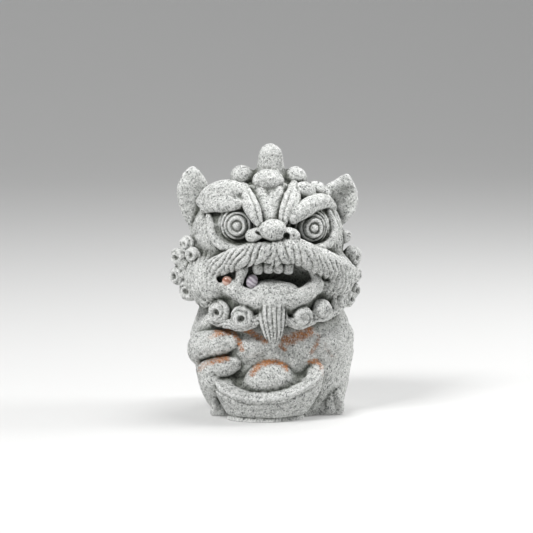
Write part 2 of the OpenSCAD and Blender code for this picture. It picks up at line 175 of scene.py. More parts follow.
def follow(points, x, y, z):
    """Distance to the centre line less its radius, the length along it, and the three offsets from it."""
    best = None
    run = 0.0
    for a, b in zip(points[:-1], points[1:]):
        e = b[:3] - a[:3]
        length = float(np.linalg.norm(e))
        along = (x - a[0]) * e[0] + (y - a[1]) * e[1] + (z - a[2]) * e[2]
        t = np.clip(along / max(length**2, 1e-6), 0, 1)
        ox, oy, oz = x - a[0] - t * e[0], y - a[1] - t * e[1], z - a[2] - t * e[2]
        d = np.sqrt(ox * ox + oy * oy + oz * oz) - (a[3] + t * (b[3] - a[3]))
        now = [d, run + t * length, ox, oy, oz]
        if best is None:
            best = now
        else:
            closer = d < best[0]
            best = [np.where(closer, n, o) for n, o in zip(now, best)]
        run += length
    return best


def roll(points, parts=4):
    line = curve(points, parts)
    return lambda x, y, z: follow(line, x, y, z)[0]


def union(*shapes, k=0.5):
    def f(x, y, z):
        out = shapes[0](x, y, z)
        for s in shapes[1:]:
            out = smooth_min(out, s(x, y, z), k)
        return out

    return f


def less(shape, *cuts, k=0.5):
    def f(x, y, z):
        out = shape(x, y, z)
        for c in cuts:
            out = smooth_max(out, -c(x, y, z), k)
        return out

    return f


def strand(phase):
    """The depth, 0 to 1, of the valleys between rounded strands, one strand to each whole number."""
    t = phase - np.floor(phase) - 0.5
    return 1 - np.sqrt(np.maximum(1 - 3.9 * t * t, 0.02))


def frame_of(normal, upright=(0, 0, 1)):
    """Axes whose second one is a normal, pointing out of the surface."""
    n = np.array(normal, float) / np.linalg.norm(normal)
    across = np.cross(n, upright)
    across /= np.linalg.norm(across)
    return np.column_stack([-across, n, np.cross(-across, n)])


def curl(at, r, normal, turns=1.6, sense=1, start=0.0, hole=0.5, depth=0.4, flat=0.75):
    """A curl of hair: a domed disc with a spiral groove that winds into a small hole."""
    m = frame_of(normal)

    def f(x, y, z):
        a, b, c = local(x, y, z, at, m)
        rho = np.sqrt(a * a + c * c)
        angle = np.arctan2(c, a) * sense / (2 * math.pi)
        body = (np.sqrt(a * a + c * c + (b / flat) ** 2) - r) / (1 + (1 / flat - 1) * 0.5)
        arms = strand(angle + rho / r * turns + start)
        groove = depth * arms * ramp(rho, 0.2 * r, 0.45 * r) * ramp(-rho, -1.15 * r, -0.9 * r)
        pit = hole * np.exp(-((rho / (0.3 * r)) ** 4)) * 3.4
        return body + (groove + pit) * ramp(b, -0.2 * r, 0.3 * r)

    return f


# ---- Noise, the same on each run ----


def noise(cell, seed):
    """Smooth random values of about -1 to 1 over the whole grid."""
    rng = np.random.default_rng(seed)
    parts = []
    size = []
    for i in range(3):
        p = (axes[i] - axes[i][0]) / cell
        n = int(p[-1]) + 3
        size.append(n)
        w = np.zeros((len(p), n), np.float32)
        base = np.floor(p).astype(int)
        t = p - base
        t = t * t * (3 - 2 * t)
        w[np.arange(len(p)), base] = 1 - t
        w[np.arange(len(p)), base + 1] = t
        parts.append(w)
    g = rng.uniform(-1, 1, size).astype(np.float32)
    g = np.tensordot(parts[0], g, (1, 0))
    g = np.tensordot(parts[1], g, (1, 1)).transpose(1, 0, 2)
    return np.tensordot(g, parts[2], (2, 1))


# ---- Where things are on the head and the jaw, from the CAD boxes ----
# Shapes stand at shares of these or at offsets from the boxes' corners and middles. Offsets, radii
# and the places of the curls and frills are mm

skull_lo, skull_hi = box("skull")
HEAD = np.array([(skull_lo[0] + skull_hi[0]) / 2, (skull_lo[1] + skull_hi[1]) / 2, skull_hi[2] - 17])
HEAD_HALF = np.array([skull_hi[0] - HEAD[0] + 0.2, skull_hi[1] - HEAD[1], 17.0])
jaw_lo, jaw_hi = box("lower_jaw")
JAW_HALF = np.array([(jaw_hi[0] - jaw_lo[0]) / 2 + 0.2, jaw_hi[1] - HEAD[1] + 0.2])
face_x = (box("nose")[0][0] + box("nose")[1][0]) / 2
mouth_z = spot("lower_lip")[2] + 3.1


def on_face(x, z, proud=0.0):
    share = 1 - (x / HEAD_HALF[0]) ** 2 - ((z - HEAD[2]) / HEAD_HALF[2]) ** 2
    return [x, HEAD[1] - HEAD_HALF[1] * math.sqrt(max(0.05, share)) - proud, z]


def on_jaw(x, z, proud=0.0):
    return [x, HEAD[1] - JAW_HALF[0] * math.sqrt(max(0.05, 1 - (x / JAW_HALF[0]) ** 2)) - proud, z]


def roll_by(node, *offsets):
    return roll(beside(node, *offsets))


def along_jaw(*places, base=0.0):
    """Points on the jaw, each from x, z, how proud of it the point stands, and a radius."""
    return [on_jaw(x, base + z, proud) + [r] for x, z, proud, r in places]


def face_point(u, w, proud, r):
    """A point on the face by shares of the head's half width and half height, with a radius."""
    return on_face(u * HEAD_HALF[0], HEAD[2] + w * HEAD_HALF[2], proud) + [r]


def along_face(*places):
    return [face_point(*place) for place in places]


def face_roll(*places):
    return roll(along_face(*places))


# ---- The sculpture ----

fields = {}


def add(node, shape, blend, reach=3.4):
    """Blends a piece into the stone, and keeps its own field for cutting it out again."""
    lo, hi = box(node)
    cut, xyz = window(lo - reach, hi + reach)
    f = np.broadcast_to(shape(*xyz), stone[cut].shape).astype(np.float32)
    stone[cut] = smooth_min(stone[cut], f, blend)
    fields[node] = (cut, f)
    n = len(fields) - 1
    closer = f < nearest[cut]
    second[cut] = np.where(closer, nearest[cut], np.minimum(second[cut], f))
    nearest[cut] = np.where(closer, f, nearest[cut])
    owner[cut] = np.where(closer, n, owner[cut])


def carve(at, reach, shape, k=0.6):
    """Takes a shape out of the stone."""
    cut, xyz = window(np.array(at) - reach, np.array(at) + reach)
    stone[cut] = smooth_max(stone[cut], -shape(*xyz), k)


# Body: an oval whose half width and half depth follow its height
body_lo, body_hi = box("body")
BODY = np.array([(body_lo[0] + body_hi[0]) / 2, (body_lo[1] + body_hi[1]) / 2, 0])
BODY_HALF = (body_hi - body_lo)[:2] / 2 + 0.2
# Height, then the shares of the half width on the image's left and right, and of the half depth
PROFILE = np.array(
    [
        [-2, 0.66, 0.84, 0.74],
        [0, 0.69, 0.84, 0.8],
        [2.2, 0.75, 0.88, 0.85],
        [5.3, 0.82, 0.91, 0.91],
        [8.5, 0.87, 0.94, 0.96],
        [12, 0.915, 0.98, 0.99],
        [15.5, 0.96, 1.01, 1.0],
        [20, 0.98, 0.99, 0.98],
        [24, 0.92, 0.935, 0.93],
        [28, 0.85, 0.85, 0.86],
        [32, 0.72, 0.72, 0.74],
        [38, 0.5, 0.5, 0.5],
    ]
)


def body(x, y, z):
    left, right, deep = (np.interp(z, PROFILE[:, 0], PROFILE[:, i]).astype(np.float32) for i in (1, 2, 3))
    side = ramp(x - BODY[0], -9, 9)
    w = (left + (right - left) * side) * BODY_HALF[0]
    d = deep * BODY_HALF[1]
    a, b = x - BODY[0], y - BODY[1]
    rho = np.sqrt((a / w) ** 2 + (b / d) ** 2)
    return (rho - 1) * np.sqrt(a * a + b * b + 1) / np.maximum(rho, 0.2) * 0.96


def haunch(side):
    lo, hi = box("left_haunch" if side > 0 else "right_haunch")
    return egg([(lo[0] + hi[0]) / 2 - 0.4 * side, (lo[1] + hi[1]) / 2, hi[2] - 8.6], [5.3, 10.5, 8.7])


def foot(node, side, spread, ahead, r):
    """Three toes, upright, with deep grooves between them."""
    lo, hi = box(node)
    x, front = (lo[0] + hi[0]) / 2 - 0.9 * side, lo[1] - ahead
    toes = []
    for k in (-1, 0, 1):
        toes.append(
            roll(
                [
                    [x + k * spread, front + 0.5 * abs(k), r * 0.9, r],
                    [x - 0.2 * side + k * spread, front + 0.5, 2.6 * r, r * 0.97],
                    [x - 0.6 * side + k * spread * 0.9, front + 3.0, 3.5 * r, r],
                ],
                3,
            )
        )
    return union(*toes, k=0.25)


skull_mass = egg(HEAD, HEAD_HALF)


def skull(x, y, z):
    """The bare head, with combed hair from the crown down its back."""
    f = skull_mass(x, y, z)
    angle = np.arctan2(x - HEAD[0], y - HEAD[1])
    back = ramp(y, 1, 7)
    wave = 0.35 * np.sin((z - HEAD[2]) * 0.35)
    f = f + 0.5 * strand(angle * 5.4 + wave) * back * ramp(-z, -60, -52)
    # Combed hair beside the left eye, from the ear to the moustache
    comb = strand((x + 0.55 * z + 0.5 * y) / 1.8 + 0.2 * np.sin(z * 0.8))
    f = f + 0.45 * comb * ramp(x, 14.5, 16.5) * ramp(-y, -1, 3) * ramp(-z, -56, -52)
    return smooth_max(f, skull_lo[2] - 0.4 - z, 0.6)


def jaw(x, y, z):
    """The chin bowl and the back of the neck."""
    upper = egg([HEAD[0], HEAD[1], mouth_z - 1], [JAW_HALF[0], JAW_HALF[0] - 0.4, 6.6])(x, y, z)
    lower = egg([HEAD[0], HEAD[1] + 0.6, 30.2], [JAW_HALF[0] - 1.8, JAW_HALF[0] - 0.6, 6.0])(x, y, z)
    chin = egg([face_x + 0.8, HEAD[1] - 9.6, 29.4], [12.6, 9.0, 4.8])(x, y, z)
    f = smooth_min(smooth_min(upper, lower, 3.0), chin, 2.0)
    return smooth_max(f, z - skull_lo[2] - 0.6, 0.6)


def cheek(side):
    mass = egg([side * (JAW_HALF[0] - 5.4), -7, mouth_z - 0.6], [8, 9, 7.4])

    def f(x, y, z):
        # Combed hair that runs down and back over the outer half
        phase = (side * x + 0.9 * y - 0.25 * (z - mouth_z)) / 1.9 + 0.2 * np.sin(z * 0.7)
        return mass(x, y, z) + 0.4 * strand(phase) * ramp(side * x, 12, 15)

    return f


def mouth_hollow():
    return egg([face_x + 0.5, on_jaw(0, 0)[1] + 2.4, mouth_z + 0.3], [10.2, 6.0, 3.9])


add("body", body, 1.5, 2.5)
add("left_haunch", haunch(1), 2.2)
add("right_haunch", haunch(-1), 2.2)
add("lower_jaw", jaw, 0.8)
add("skull", skull, 1.2)
add("left_cheek", cheek(1), 1.6)
add("right_cheek", cheek(-1), 1.6)
carve([face_x, -18, mouth_z], 13, mouth_hollow(), 0.7)
# The gaps that run on under the moustache, beyond the corners of the mouth
for side, reach_x in ((1, 16.5), (-1, -14.5)):
    places = ((side * 9.5, 1.2, 0.4, 1.3), (side * 13, 0.8, 0.4, 1.3), (reach_x, -0.4, 0.3, 0.9))
    gap = roll(along_jaw(*places, base=mouth_z))
    carve([side * 13, -16, mouth_z], 8, gap, 0.7)


# Mane over the nape: rows of curls round the back of the head
def nape(x, y, z):
    half = [HEAD_HALF[0] - 1.6, 0.8 * HEAD_HALF[1] - 1.8, 14.2]
    f = egg([HEAD[0], HEAD[1] + 6, HEAD[2] - 5], half)(x, y, z)
    for row in range(3):
        rim = 1.4 * abs(row - 1)
        for s in range(-3, 4):
            angle = math.radians((s + 0.5 * (row % 2)) * 25)
            out = [math.sin(angle), math.cos(angle), 0.1 * (row - 1)]
            wide, deep = HEAD_HALF[0] - 0.6 - rim, HEAD_HALF[1] + 1.3 - rim
            at = [wide * out[0], HEAD[1] + deep * out[1], HEAD[2] - 13.6 + row * 6.8]
            sense, start = (1 if s % 2 else -1), 0.13 * s + 0.31 * row
            near = curl(at, 3.7, out, turns=1.5, sense=sense, start=start, hole=0.45, depth=1.0)
            f = smooth_min(f, near(x, y, z), 0.7)
    return f


add("nape_mane", nape, 0.9)


# ---- Face ----


def eye_frame(side):
    node, x, drop = ("left_eye", 9.8, -0.6) if side > 0 else ("right_eye", -9.2, 0.2)
    at = np.array(on_face(x, spot(node)[2] + drop, -0.9))
    return at, frame_of([side * 0.3, -1, 0.04])


# Radius, height and width of each ring round the pupil: the iris, then the folds of the lids
EYE_RINGS = [
    (1.2, -0.9, 0.36),
    (2.0, 0.35, 0.42),
    (2.62, -0.6, 0.22),
    (3.1, 0.2, 0.28),
    (3.6, -0.5, 0.2),
    (4.05, 0.2, 0.26),
    (4.55, -0.4, 0.2),
]


def rings(rho):
    """The height of the pupil and its rings by distance from the eye's axis."""
    out = 0.25 * np.exp(-((rho / 0.62) ** 2) ** 1.5)
    for r, h, w in EYE_RINGS:
        out = out + h * np.exp(-(((rho - r) / w) ** 2))
    return out


def eyeball(side):
    at, m = eye_frame(side)
    ball = egg(at + np.array([0, 2.4, 0]), [4.1, 4.6, 4.2])

    def f(x, y, z):
        a, _, c = local(x, y, z, at, m)
        return ball(x, y, z) - rings(np.sqrt(a * a + (0.94 * c) ** 2)) * 0.8

    return f


def eyelid(side):
    at, m = eye_frame(side)
    lid = egg(at + np.array([0, 2.5, 0]), [5.0, 3.9, 5.0], [0, 0, side * 16])
    # The fold that sweeps round under the eye, from the temple to the nostril
    if side < 0:
        places = [(6.5, 3.6), (6.6, 0.2), (6.0, -2.9), (4.0, -5.1), (0.2, -5.9), (-2.8, -5.2)]
    else:
        places = [(4.9, 3.4), (6.0, 0.6), (6.0, -1.9), (4.2, -4.4), (0.2, -5.2), (-2.4, -4.8)]
    radii = [0.8, 1.15, 1.15, 1.15, 1.15, 0.8]
    fold = roll([on_face(at[0] + side * dx, at[2] + dz, 0.2) + [r] for (dx, dz), r in zip(places, radii)])

    def f(x, y, z):
        a, _, c = local(x, y, z, at, m)
        return smooth_min(lid(x, y, z) - rings(np.sqrt(a * a + (0.94 * c) ** 2)) * 0.8, fold(x, y, z), 0.5)

    return f


for side, name in ((1, "left"), (-1, "right")):
    at = eye_frame(side)[0]
    # The socket around the lids, deepest under the brow
    socket = egg(at + np.array([-0.3 * side, -0.6, 0.7]), [5.9, 3.8, 5.5], [-12, 0, side * 16])
    carve(at, 10, socket, 1.0)
    add(f"{name}_eyelid", eyelid(side), 0.4)
    add(f"{name}_eye", eyeball(side), 0.25)


def brow_leaf(points, side):
    """An upright leaf of the inner brow, with a vein groove down its middle."""
    line = curve(points)

    def f(x, y, z):
        d, _, ox, oy, _ = follow(line, x, y, z)
        return d + 0.5 * np.exp(-(((ox + 0.25 * side) / 0.32) ** 2)) * ramp(-oy, 0, 1)

    return f


forehead = union(
    face_roll((-0.15, 0.76, -1.4, 1.6), (-0.06, 0.4, -1.0, 1.3)),
    face_roll((0.09, 0.76, -1.4, 1.6), (-0.02, 0.4, -1.0, 1.3)),
    k=1.6,
)
add("forehead_plate", forehead, 0.8)

upper = ((3.9, -2.5, 1.5, 2.4), (2.4, -2.4, 1.9, 2.9), (0.0, -1.3, 1.6, 3.4), (-3.0, 0.9, 0.6, 2.9))
upper += ((-4.9, 3.1, -1.0, 1.9),)
lower = ((4.4, -5.6, -0.6, 1.3), (1.0, -5.1, -1.0, 1.7), (-2.4, -2.7, -1.4, 1.7), (-4.9, 0.7, -2.4, 1.2))
node = "right_outer_brow"
add(node, union(roll_by(node, *upper), roll_by(node, *lower), k=1.6), 0.6)

edge = ((0.23, 0.4, 1.1, 1.3), (0.36, 0.52, 1.6, 2.1), (0.52, 0.6, 1.6, 2.3), (0.7, 0.6, 0.8, 2.0))
edge += ((0.82, 0.5, 0.2, 1.2),)
lobes = (
    ((0.42, 0.76, 0.0), [3.0, 3.2, 2.7]),
    ((0.61, 0.76, 0.3), [2.6, 2.9, 2.4]),
    ((0.75, 0.72, 0.8), [1.1, 1.3, 1.1]),
)
lobes = [egg(face_point(*at, 0)[:3], half) for at, half in lobes]
add("left_outer_brow", union(face_roll(*edge), *lobes, k=0.9), 0.6)

# The line between the outer and the inner brow
points = ((-0.41, 0.78, 0.6, 0.5), (-0.4, 0.62, 1.6, 0.6), (-0.35, 0.48, 1.8, 0.6), (-0.28, 0.34, 1.4, 0.5))
carve(on_face(-5.0, 54.5), 9, face_roll(*points), 0.6)
points = ((-0.36, 0.84, 1, 1.3), (-0.33, 0.7, 1.8, 1.9), (-0.275, 0.52, 2.2, 2), (-0.22, 0.36, 1.9, 1))
add("right_inner_brow", brow_leaf(along_face(*points), -1), 0.2)
points = ((0.3, 0.86, 0.3, 1.2), (0.22, 0.68, 0.6, 1.9), (0.13, 0.5, 1.0, 1.6), (0.1, 0.36, 1.0, 1.0))
leaf = brow_leaf(along_face(*points), 1)
fold = face_roll((0.34, 0.8, 0.6, 1.0), (0.27, 0.6, 1.2, 1.3), (0.21, 0.42, 1.4, 0.9))
add("left_inner_brow", union(leaf, fold, k=0.25), 0.35)


def boss_arc(half, back, bow, down, r):
    """An arc across the front of the boss, its ends up and back. It bends at two half widths."""
    across = (-half[0], -half[1], 0, half[1], half[0])
    return roll_by("forehead_boss", *((d, back + bow * d * d, down + 0.08 * d * d, r) for d in across))


def boss():
    """A button with a rolled rim under it and a crease over the rim."""
    button = egg(spot("forehead_boss") + np.array([0, 0.5, 0.2]), [4.1, 2.7, 3.2], [-30, 0, 0])
    rim = boss_arc((4.2, 2.2), -1.5, 0.07, -2.6, 0.8)
    crease = boss_arc((3.4, 1.8), -2.5, 0.08, -1.4, 0.5)
    return union(less(button, crease, k=0.3), rim, k=0.25)


lo, hi = box("horn")
horn_x, horn_top = (lo[0] + hi[0]) / 2, hi[2]


def horn():
    heights = ((0, -4, -10, 4.5), (0, -4.4, -6.6, 3.6), (0, -4.9, -3.7, 3.15), (0.1, -5, -2.95, 2.95))
    cone = roll([[horn_x + dx, y, horn_top + dz, r] for dx, y, dz, r in heights])
    # A wavy crease across the front
    crease = []
    for d in (-2.6, -1.3, 0, 1.3, 2.6):
        crease.append([horn_x + d, -8.3 + 0.18 * d * d, horn_top - 3.2 + 0.25 * math.sin(2 * d), 0.25])
    return less(cone, roll(crease), k=0.7)


def crest_lobe(side, top):
    places = ((7.0, -5, 2.8, 2.9), (6.6, -1, 3.4, 2.9), (6.2, 5, 6.0, 3.0))
    line = [[side * x, y, top - down, r] for x, y, down, r in places]
    return union(roll(line), egg([side * 4.3, -4, top - 4.2], [2.4, 2.6, 2.4]), k=1.0)


add("left_crest_lobe", crest_lobe(1, box("left_crest_lobe")[1][2]), 0.7)
add("right_crest_lobe", crest_lobe(-1, box("right_crest_lobe")[1][2]), 0.7)
add("horn", horn(), 1.3)
add("forehead_boss", boss(), 1.0)


def flat_roll(places, at, tilt, squeeze):
    """A roll squeezed from front to back, such as a leaf. Its places are across, up and radius."""
    m = turn(tilt)
    line = curve([(a, 0, c, r) for a, c, r in places])

    def f(x, y, z):
        a, b, c = local(x, y, z, at, m)
        return follow(line, a, b * squeeze, c)[0] / (1 + (squeeze - 1) * 0.55)

    return f


def ear(node, side):
    """An upright leaf with a hollow in its front. Its own frame starts at its root."""
    lo, hi = box(node)
    if side < 0:
        at = np.array([hi[0] - 2.6, 1.0, lo[2] + 2.6])
        leaf = ((0, -1, 2.4), (-1.2, 4, 3.7), (-2.2, 8, 3.8), (-2.1, 11.4, 2.7), (-1.7, 13.3, 1.3))
        shoulder = ((1.2, 1, 2.6), (1.5, 6, 2.8), (0.2, 9.0, 2.6), (-1.3, 12.4, 1.4))
        outer = union(flat_roll(leaf, at, [0, 0, 14], 1.7), flat_roll(shoulder, at, [0, 0, 10], 1.9), k=1.2)
        hollow = egg(at + np.array([1.4, -3.7, 7.6]), [2.4, 2.0, 5.2], [0, -10, 20])
        return less(outer, hollow, k=1.0)
    at = np.array([lo[0] + 2.6, 1.0, lo[2] + 2.6])
    leaf = ((0, -1, 2.4), (2.4, 3.2, 3.7), (3.2, 6.2, 3.6), (3.7, 9.2, 1.9), (4.1, 11.0, 0.7))
    inner = ((-1.0, 1, 2.2), (-0.4, 5.6, 2.5), (1.4, 8.2, 1.9), (3.4, 10.0, 1.1))
    outer = union(flat_roll(leaf, at, [0, 0, -18], 1.7), flat_roll(inner, at, [0, 0, -18], 1.9), k=1.0)
    hollow = egg(at + np.array([2.9, -2.8, 4.6]), [3.2, 2.5, 4.8], [0, 26, -14])
    edge = ((-2.4, -1.8, 6.0, 1.3), (-0.6, -1.6, 8.2, 1.3), (1.6, -1.4, 9.6, 1.0), (3.6, -0.9, 10.9, 0.6))
    rim = roll(moved(at, edge))
    return union(less(outer, hollow, k=0.8), rim, k=0.6)


add("right_ear", ear("right_ear", -1), 0.9)
add("left_ear", ear("left_ear", 1), 0.9)

nose = spot("nose")


def nostril(side):
    at = np.array(on_face(face_x + side * 4.2, nose[2] - 0.9, 1.5))
    corner = egg(at + np.array([side * 1.1, 0.3, -0.5]), [1.6, 2.0, 1.5])
    wing = union(egg(at, [2.0, 2.3, 1.6], [0, side * 14, 0]), corner, k=0.8)
    if side > 0:
        slot = egg(at + np.array([0.8, -2.2, -0.3]), [0.4, 0.9, 0.4])
        hole = union(egg(at + np.array([-1.3, -1.9, -0.3]), [1.2, 1.9, 0.9], [0, 24, 0]), slot, k=0.4)
    else:
        hole = egg(at + np.array([0.5, -1.9, 0.3]), [1.2, 1.5, 0.5], [0, 26, 0])
    return less(wing, hole, k=0.5)


add("left_nostril", nostril(1), 0.4)
add("right_nostril", nostril(-1), 0.4)
add("nose", egg(nose + np.array([-0.1, 0, 0.1]), [3.45, 3.1, 2.9]), 0.7)
# The left hole stays open beside the nose ball
hole_at = np.array([face_x + 3.2, nose[1] - 1.4, nose[2] - 1.1])
carve(hole_at, 3.2, egg(hole_at, [0.95, 1.6, 0.8], [0, 20, 0]), 0.4)


# ---- Moustache ----


def moustache(side):
    """A rope of combed strands that fan out from the middle and thin to an end by the ear."""
    node = "left_moustache" if side > 0 else "right_moustache"
    lo, hi = box(node)
    end = hi[0] if side > 0 else lo[0]
    top = HEAD[2]
    # Over the face: x, how far down, how proud and the radius. Round the cheek: x, y, how far down, radius
    if side > 0:
        front = ((face_x - 0.4, 1.4, 1.4, 3.1), (4.3, 1.3, 1.8, 2.9), (9.0, 3.2, 2.2, 3.0))
        front += ((14.0, 5.8, 2.9, 3.2),)
        beyond = ((-5.4, -9.4, 8.2, 3.0), (-2.0, -4.6, 9.4, 1.9), (-1.2, -1.0, 9.6, 1.0))
    else:
        front = ((face_x + 0.4, 1.4, 1.4, 3.1), (-4.2, 1.6, 1.8, 2.9), (-8.3, 2.5, 2.0, 3.0))
        front += ((-12.3, 4.3, 2.5, 2.9), (-15.9, 6.3, 3.2, 2.6))
        beyond = ((4.6, -7.8, 8.2, 2.0), (2.4, -3.6, 8.6, 1.2))
    points = [on_face(x, top - down, proud) + [r] for x, down, proud, r in front]
    points += [[end + x, y, top - down, r] for x, y, down, r in beyond]
    line = curve(points, 5)
    length = float(np.linalg.norm(np.diff(line[:, :3], axis=0), axis=1).sum())
    # The section is taller than it is thick, most of all on the image's right
    tall = 0.8 if side > 0 else 0.96
    line[:, 2] *= tall
    spacing = 1.95 if side < 0 else 1.7

    def f(x, y, z):
        d, u, _, _, oz = follow(line, x, y, z * tall)
        share = u / length
        slope = 0.25 + (1.25 if side < 0 else 0.9) * ramp(share, 0, 0.4)
        phase = (u + slope * oz) / spacing + 0.2 * np.sin(u * 1.1) + 0.12 * np.sin(oz * 1.5 + u * 0.6)
        fade = ramp(-oz, -3.2, -1.2) if side < 0 else ramp(-oz, -2.9 + 1.2 * ramp(share, 0.05, 0.4), -0.5)
        deep = 1.35 if side < 0 else 0.95
        # Every second groove is shallower
        deep = deep * (0.75 + 0.25 * np.cos(math.pi * np.floor(phase)))
        # The lower edge thins to the strands' ends
        thin = 0.35 * ramp(-oz, 0.8, 2.8)
        return (d + deep * strand(phase) * fade * ramp(-share, -1.02, -0.9) + thin) * 0.95

    return smooth_side(f, side)


def smooth_side(shape, side):
    """Ends a half at the face's middle line, with a little overlap."""

    def f(x, y, z):
        return smooth_max(shape(x, y, z), (face_x - x) * side - 0.6, 0.5)

    return f


add("left_moustache", moustache(1), 0.35)
add("right_moustache", moustache(-1), 0.35)

# ---- Mouth ----

lip = []
for t in np.linspace(-1, 1, 9):
    rise = mouth_z - 5.0 + 1.0 * t**2 + 1.5 * t**4
    lip.append(on_jaw(face_x + 0.5 + 10.4 * t, rise, -0.7) + [1.9 - 0.5 * t * t])
add("lower_lip", roll(lip, 3), 2.4)
tongue_y = on_jaw(0, 0)[1]
tongue = union(
    egg([face_x - 0.2, tongue_y + 3.6, mouth_z - 2.4], [5.2, 4.4, 1.9], [12, 0, 0]),
    egg([face_x + 3.4, tongue_y + 3.4, mouth_z - 2.6], [3.2, 3.4, 1.6]),
    k=1.2,
)
add("tongue", tongue, 0.4)


def tooth(at, half, power=3.4):
    """A block with rounded corners, squarer the higher its power."""

    def f(x, y, z):
        shares = [(np.abs(v - c) / h) ** power for v, c, h in zip((x, y, z), at, half)]
        return ((shares[0] + shares[1] + shares[2] + 1e-6) ** (1 / power) - 1) * min(half)

    return f


TOOTH_PITCH = 2.6
teeth_at = spot("upper_teeth")
teeth = []
for k in (-1.5, -0.5, 0.5, 1.5):
    place = on_jaw(teeth_at[0] + 0.2 + TOOTH_PITCH * k, teeth_at[2] + 0.3 - 0.12 * k * k, -3.1)
    teeth.append(tooth(place, [1.27, 1.6, 1.75]))
add("upper_teeth", union(*teeth, k=0.12), 0.3)
post = roll(along_jaw((-9.9, -2.4, -0.6, 1.6), (-9.2, 0, -0.8, 1.2), (-8.6, 2.4, -0.9, 1.5), base=mouth_z))
add("right_mouth_post", post, 0.6)
post = roll(along_jaw((9.4, 2.2, -1.6, 0.9), (10.4, 0.4, -0.9, 1.1), (11, -1.4, -0.3, 1.55), base=mouth_z))
add("left_mouth_post", post, 0.4)


# ---- Curls and beard ----


def out_of(at, lift=0.0):
    """The direction out of the head at a place."""
    return [at[0] - HEAD[0], at[1] - HEAD[1], lift * HEAD_HALF[0]]


def curls(node, items, blend, between=0.35, ribbons=None, forward=0.25):
    """Curls, each from x, y, z, radius, and the sense, start and hole of its spiral."""
    shapes = []
    for x, y, z, r, sense, start, hole in items:
        out = out_of([x, y], -0.1)
        out[1] -= forward * HEAD_HALF[0]
        shapes.append(curl([x, y, z], r, out, turns=1.45, sense=sense, start=start, hole=hole, depth=0.85))
    if ribbons:
        shapes.append(ribbons)
    add(node, union(*shapes, k=between), blend)


def frill(*places):
    """Hair that flows along under the curls, as parallel strands."""
    line = curve(along_jaw(*places))

    def f(x, y, z):
        d, u, _, _, oz = follow(line, x, y, z)
        return d + 0.5 * strand((oz - 0.35 * np.sin(u * 1.15)) / 0.9) * ramp(-d, -1.5, 0.2)

    return f


curls(
    "right_chin_curls",
    [
        (*on_jaw(-8.4, 26.8, -0.9), 3.2, 1, 0.3, 0.55),
        (*on_jaw(-14.0, 28.0, -0.4), 3.1, 1, 0.1, 0.6),
        (*on_jaw(-17.2, 30.0, -0.4), 1.7, 1, 0.1, 0.5),
    ],
    0.4,
    ribbons=frill(
        (-16.0, 25.9, -1.6, 1.4), (-12.0, 25.2, -1.4, 1.6), (-7.6, 24.9, -1.2, 1.6), (-4.2, 26.8, -0.8, 1.2)
    ),
)
curls(
    "left_chin_curls",
    [
        (*on_jaw(6.6, 26.8, -0.8), 3.0, -1, 0.2, 0.18),
        (*on_jaw(12.0, 28.1, -0.2), 3.0, -1, 0.35, 0.18),
        (*on_jaw(17.2, 30.0, 1.2), 3.0, -1, 0.5, 0.18),
    ],
    0.4,
    ribbons=frill(
        (2.9, 26.0, -0.9, 1.3), (6.2, 25.0, -1.3, 1.5), (10.2, 26.0, -1.3, 1.35), (14.0, 26.6, -1.0, 1.5),
        (17.6, 27.8, 0.2, 1.4),
    ),
)
curls(
    "right_cheek_curls",
    [
        (-21.3, -4.6, 44.3, 2.2, 1, 0.0, 0.2),
        (-23.1, -1.6, 40.6, 2.5, 1, 0.4, 0.45),
        (-20.2, -8.6, 41.9, 2.1, 1, 0.7, 0.45),
        (-23.3, -0.8, 35.6, 2.6, -1, 0.2, 0.5),
        (-21.0, -6.2, 32.4, 2.8, 1, 0.5, 0.4),
        (-17.0, -11.4, 31.2, 2.1, -1, 0.1, 0.6),
        (-20.4, -2.0, 38.4, 3.6, 1, 0.3, 0.0),
    ],
    0.6,
    forward=0.9,
)
curls(
    "left_cheek_curls",
    [
        (20.2, -4.4, 45.5, 1.8, -1, 0.0, 0.1),
        (22.0, -3.4, 40.2, 3.0, -1, 0.3, 0.35),
        (23.0, -1.0, 35.0, 2.5, -1, 0.1, 0.45),
        (22.4, -2.4, 31.4, 2.4, -1, 0.6, 0.45),
        (20.8, -5.2, 29.5, 2.2, -1, 0.2, 0.45),
        (19.6, -2.0, 35.4, 3.6, 1, 0.3, 0.0),
    ],
    0.6,
    forward=0.9,
)

beard_lo, beard_hi = box("beard")


def beard(x, y, z):
    """Strands that run together in a point."""
    top, tip = beard_hi[2] - 0.4, beard_lo[2]
    t = np.clip((top - z) / (top - tip), 0, 1)
    centre = face_x + 0.25 * np.sin(t * 3.0)
    half = 3.05 * (1 - t) ** 0.6 * (0.85 + 0.5 * t) + 0.25
    line = [(face_x, top, -0.5, 2.6), (face_x, top - 4.5, -0.6, 2.5), (face_x, top - 8.5, -1.0, 1.6)]
    line.append((face_x + 0.2, tip + 0.6, -1.4, 0.6))
    narrow = (2.5 / (half + 0.01)) * (0.98 - 0.72 * t)
    d = follow(curve(along_jaw(*line)), centre + (x - centre) * narrow, y, z)[0]
    phase = (x - centre) / (half * 2) * 4.6 + 0.25 * np.sin(t * 5) + 0.5
    return d + 0.75 * strand(phase) * ramp(t, 0.0, 0.12)


add("beard", beard, 0.5)

# ---- Chest and limbs ----

chest_y = body_lo[1]


